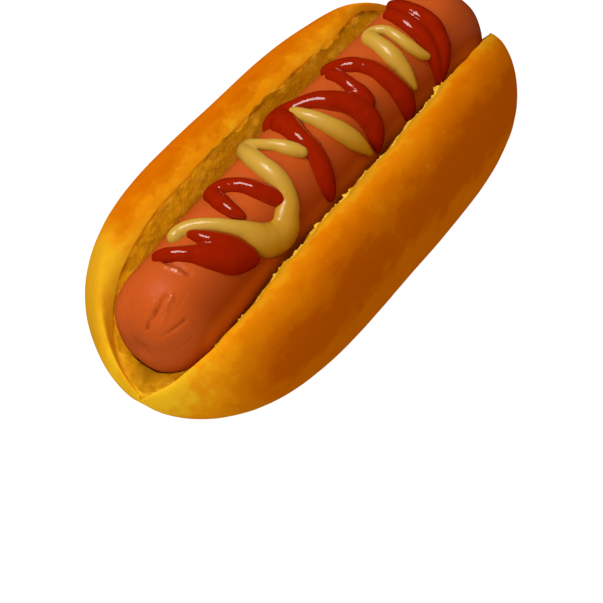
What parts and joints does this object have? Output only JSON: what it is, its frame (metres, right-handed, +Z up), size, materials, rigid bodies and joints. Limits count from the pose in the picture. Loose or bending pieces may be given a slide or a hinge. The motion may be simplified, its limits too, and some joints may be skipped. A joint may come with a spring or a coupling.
{
  "type": "hot dog",
  "caption": "Long soft bun split along the top, holding a plump sausage with zigzag lines of ketchup and mustard on it.",
  "frame": {"origin": "under the middle of the bun, on the plane that its flat base rests on", "axes": "+X along the bun from its near end to its far end, +Y across it, +Z up out of the split"},
  "size_m": [0.15, 0.0717, 0.047],
  "materials": {
    "bread": "golden brown baked crust, satin to matte, with pale torn crumb inside the split",
    "sausage_skin": "moist cooked sausage casing, orange brown, softly shiny",
    "ketchup": "wet deep red tomato sauce with sharp highlights",
    "mustard": "smooth pale yellow mustard, softly shiny"
  },
  "bodies": {
    "root": {"bun": "bread", "sausage": "sausage_skin"}
  },
  "joints": []
}
